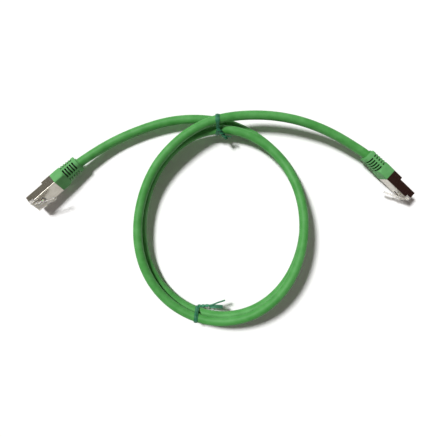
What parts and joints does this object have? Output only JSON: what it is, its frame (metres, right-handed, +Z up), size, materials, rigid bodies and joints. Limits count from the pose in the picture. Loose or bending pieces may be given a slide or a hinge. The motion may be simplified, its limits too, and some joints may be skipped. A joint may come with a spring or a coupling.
{
  "type": "ethernet patch cable",
  "caption": "Shielded ethernet patch cable, coiled and held by twist ties, with a booted modular plug and spring latch at each end, for joining network devices.",
  "frame": {"origin": "middle of the coiled cable's outline seen from above, on the surface that it lies on", "axes": "+Z up from the surface, +X from the left plug towards the right plug, +Y towards the top tie"},
  "size_m": [0.2627, 0.1451, 0.0241],
  "materials": {
    "boot_pvc": "moulded flexible boot",
    "clear_body": "clear moulded polycarbonate",
    "clear_latch": "clear moulded polycarbonate",
    "gold_contacts": "gold-plated bronze",
    "jacket_pvc": "satin extruded jacket",
    "load_bar_plastic": "natural moulded plastic",
    "nickel_shell": "nickel-plated sheet",
    "pair_blue": "plain insulation",
    "pair_brown": "plain insulation",
    "pair_green": "plain insulation",
    "pair_orange": "plain insulation",
    "screen_braid": "tinned copper braid",
    "tie_plastic": "soft plastic ribbon",
    "tie_steel": "soft iron wire",
    "wire_insulation": "plain insulation"
  },
  "bodies": {
    "cable_and_plugs": {"bottom_tie": "tie_plastic", "bottom_tie_wire": "tie_steel", "braided_screen": "screen_braid", "jacket_coil": "jacket_pvc", "jacket_left_tail": "jacket_pvc", "jacket_right_tail": "jacket_pvc", "left_boot": "boot_pvc", "left_braid_collar": "screen_braid", "left_contacts": "gold_contacts", "left_load_bar": "load_bar_plastic", "left_plug_body": "clear_body", "left_shield_shell": "nickel_shell", "left_wire_ends": "wire_insulation", "pair_blue": "pair_blue", "pair_brown": "pair_brown", "pair_green": "pair_green", "pair_orange": "pair_orange", "right_boot": "boot_pvc", "right_braid_collar": "screen_braid", "right_contacts": "gold_contacts", "right_load_bar": "load_bar_plastic", "right_plug_body": "clear_body", "right_shield_shell": "nickel_shell", "right_wire_ends": "wire_insulation", "top_tie": "tie_plastic", "top_tie_wire": "tie_steel"},
    "left_latch": {"left_latch": "clear_latch"},
    "right_latch": {"right_latch": "clear_latch"}
  },
  "joints": [
    {"name": "left_latch_press", "type": "hinge", "parent": "cable_and_plugs", "child": "left_latch", "pos_m": [-0.12581, 0.00852, 0.01341], "axis": [-0.2721, 0.3972, 0.8765], "range_deg": [0, 12], "stiffness_Nm_per_rad": 0.3},
    {"name": "right_latch_press", "type": "hinge", "parent": "cable_and_plugs", "child": "right_latch", "pos_m": [0.12617, 0.01405, 0.00594], "axis": [-0.111, 0.0976, -0.989], "range_deg": [0, 12], "stiffness_Nm_per_rad": 0.3}
  ]
}
